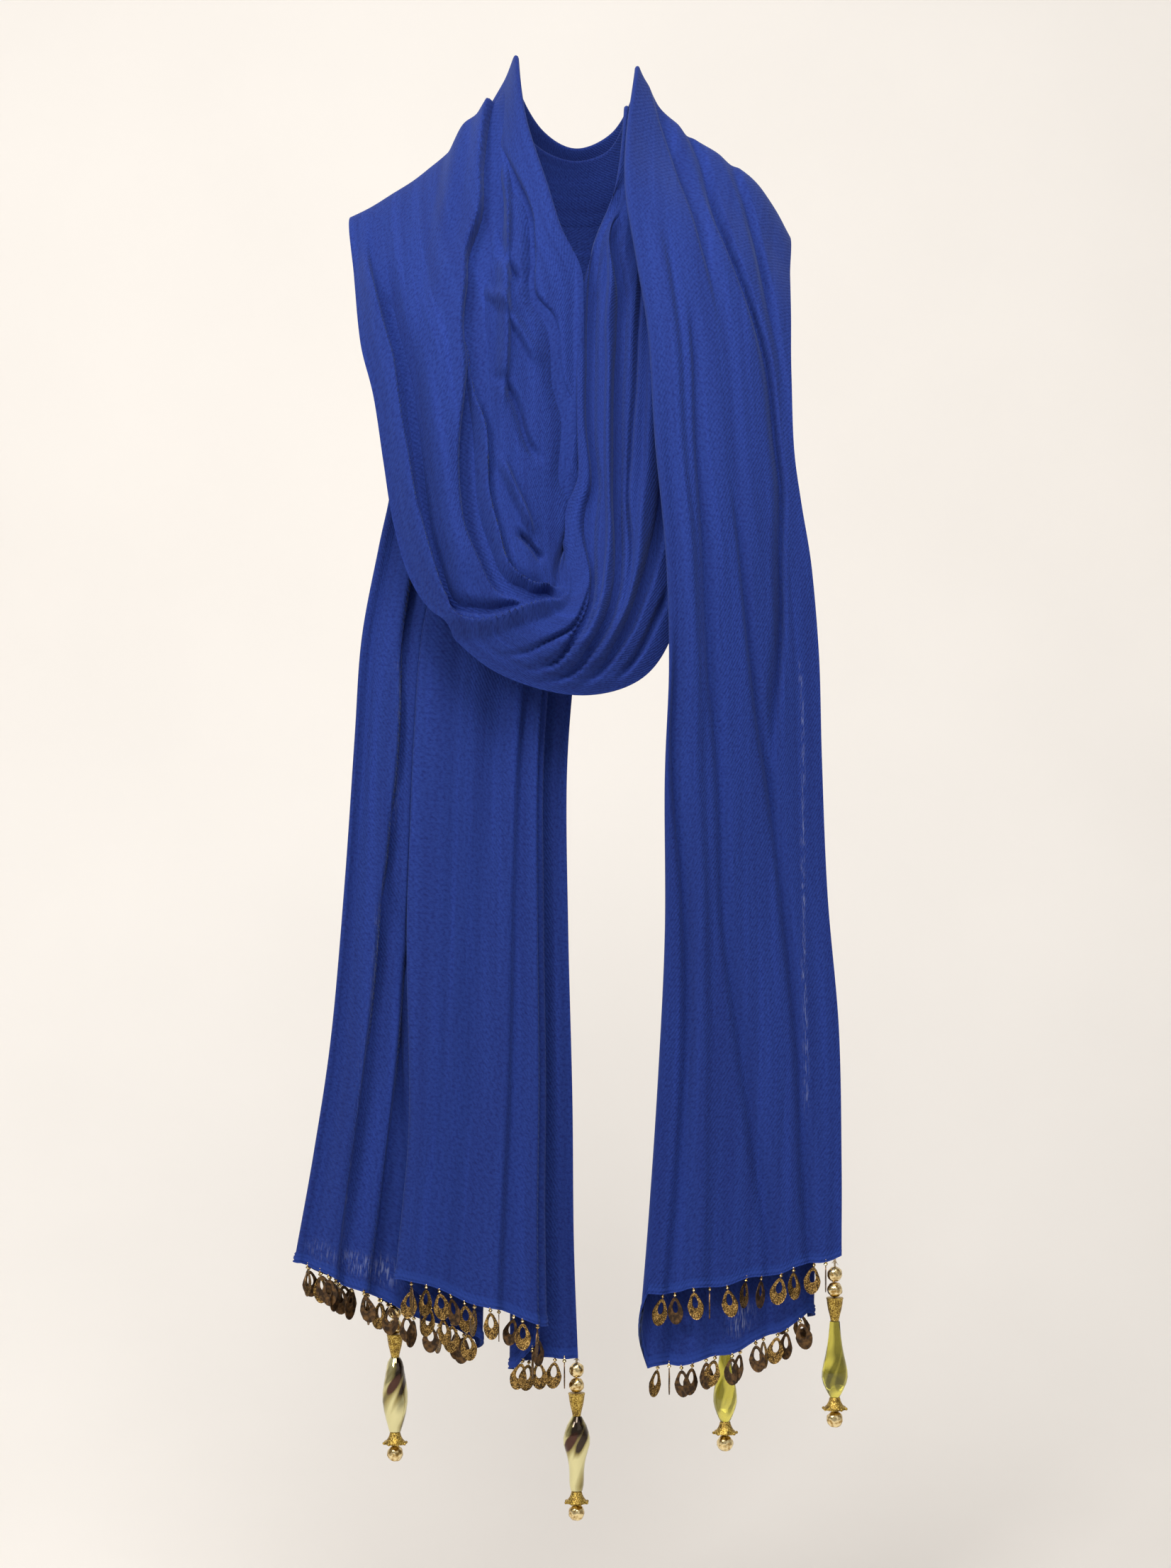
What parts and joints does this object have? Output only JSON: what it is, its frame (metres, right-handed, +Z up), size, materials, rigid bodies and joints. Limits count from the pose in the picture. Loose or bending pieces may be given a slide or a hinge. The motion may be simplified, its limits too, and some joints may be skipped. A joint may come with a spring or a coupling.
{
  "type": "scarf",
  "caption": "Long plain crepe scarf worn once around the neck, both ends hanging in front, with flat metal drops along the hems and beaded pendants at the corners.",
  "frame": {"origin": "middle of the neck column, level with the cloth where it rests on the shoulders", "axes": "+Z up, the front of the worn scarf towards -Y, the picture's right side towards +X"},
  "size_m": [0.3969, 0.285, 1.0797],
  "materials": {
    "cloth": "matte crepe weave",
    "antique_gold": "antique gold, darkened and granulated",
    "bright_gold": "bright gold, polished",
    "thread": "brown sewing thread",
    "olive_glass": "olive-yellow transparent glass",
    "mirror_glass": "gold-coated twisted glass"
  },
  "bodies": {
    "root": {"left_tail": "cloth", "neck_wrap_inner": "cloth", "front_loop": "cloth", "neck_wrap_outer": "cloth", "right_tail": "cloth", "left_tail_drops_1": "antique_gold", "left_tail_drops_2": "antique_gold", "left_tail_drops_3": "antique_gold", "left_tail_drops_4": "antique_gold", "left_tail_drops_5": "antique_gold", "left_tail_drops_6": "antique_gold", "right_tail_drops_1": "antique_gold", "right_tail_drops_2": "antique_gold", "right_tail_drops_3": "antique_gold"},
    "pendant_left_inner": {"pendant_left_inner_thread": "thread", "pendant_left_inner_bead_1": "bright_gold", "pendant_left_inner_bead_2": "bright_gold", "pendant_left_inner_cone": "antique_gold", "pendant_left_inner_glass": "mirror_glass", "pendant_left_inner_cap": "antique_gold", "pendant_left_inner_ball": "bright_gold"},
    "pendant_left_outer": {"pendant_left_outer_thread": "thread", "pendant_left_outer_bead_1": "bright_gold", "pendant_left_outer_bead_2": "bright_gold", "pendant_left_outer_cone": "antique_gold", "pendant_left_outer_glass": "mirror_glass", "pendant_left_outer_cap": "antique_gold", "pendant_left_outer_ball": "bright_gold"},
    "pendant_right_outer": {"pendant_right_outer_thread": "thread", "pendant_right_outer_bead_1": "bright_gold", "pendant_right_outer_bead_2": "bright_gold", "pendant_right_outer_cone": "antique_gold", "pendant_right_outer_glass": "olive_glass", "pendant_right_outer_cap": "antique_gold", "pendant_right_outer_ball": "bright_gold"},
    "pendant_right_inner": {"pendant_right_inner_thread": "thread", "pendant_right_inner_bead_1": "bright_gold", "pendant_right_inner_bead_2": "bright_gold", "pendant_right_inner_cone": "antique_gold", "pendant_right_inner_glass": "olive_glass", "pendant_right_inner_cap": "antique_gold", "pendant_right_inner_ball": "bright_gold"}
  },
  "joints": [
    {"name": "pendant_left_inner_swing", "type": "hinge", "parent": "root", "child": "pendant_left_inner", "pos_m": [0.001, -0.08608, -0.87678], "axis": [1, 0, 0], "range_deg": [-45, 45]},
    {"name": "pendant_left_outer_swing", "type": "hinge", "parent": "root", "child": "pendant_left_outer", "pos_m": [-0.13033, -0.07961, -0.83644], "axis": [1, 0, 0], "range_deg": [0, 45]},
    {"name": "pendant_right_outer_swing", "type": "hinge", "parent": "root", "child": "pendant_right_outer", "pos_m": [0.1841, -0.127, -0.7995], "axis": [1, 0, 0], "range_deg": [-45, 45]},
    {"name": "pendant_right_inner_swing", "type": "hinge", "parent": "root", "child": "pendant_right_inner", "pos_m": [0.10721, -0.10732, -0.82252], "axis": [1, 0, 0], "range_deg": [0, 45]}
  ]
}
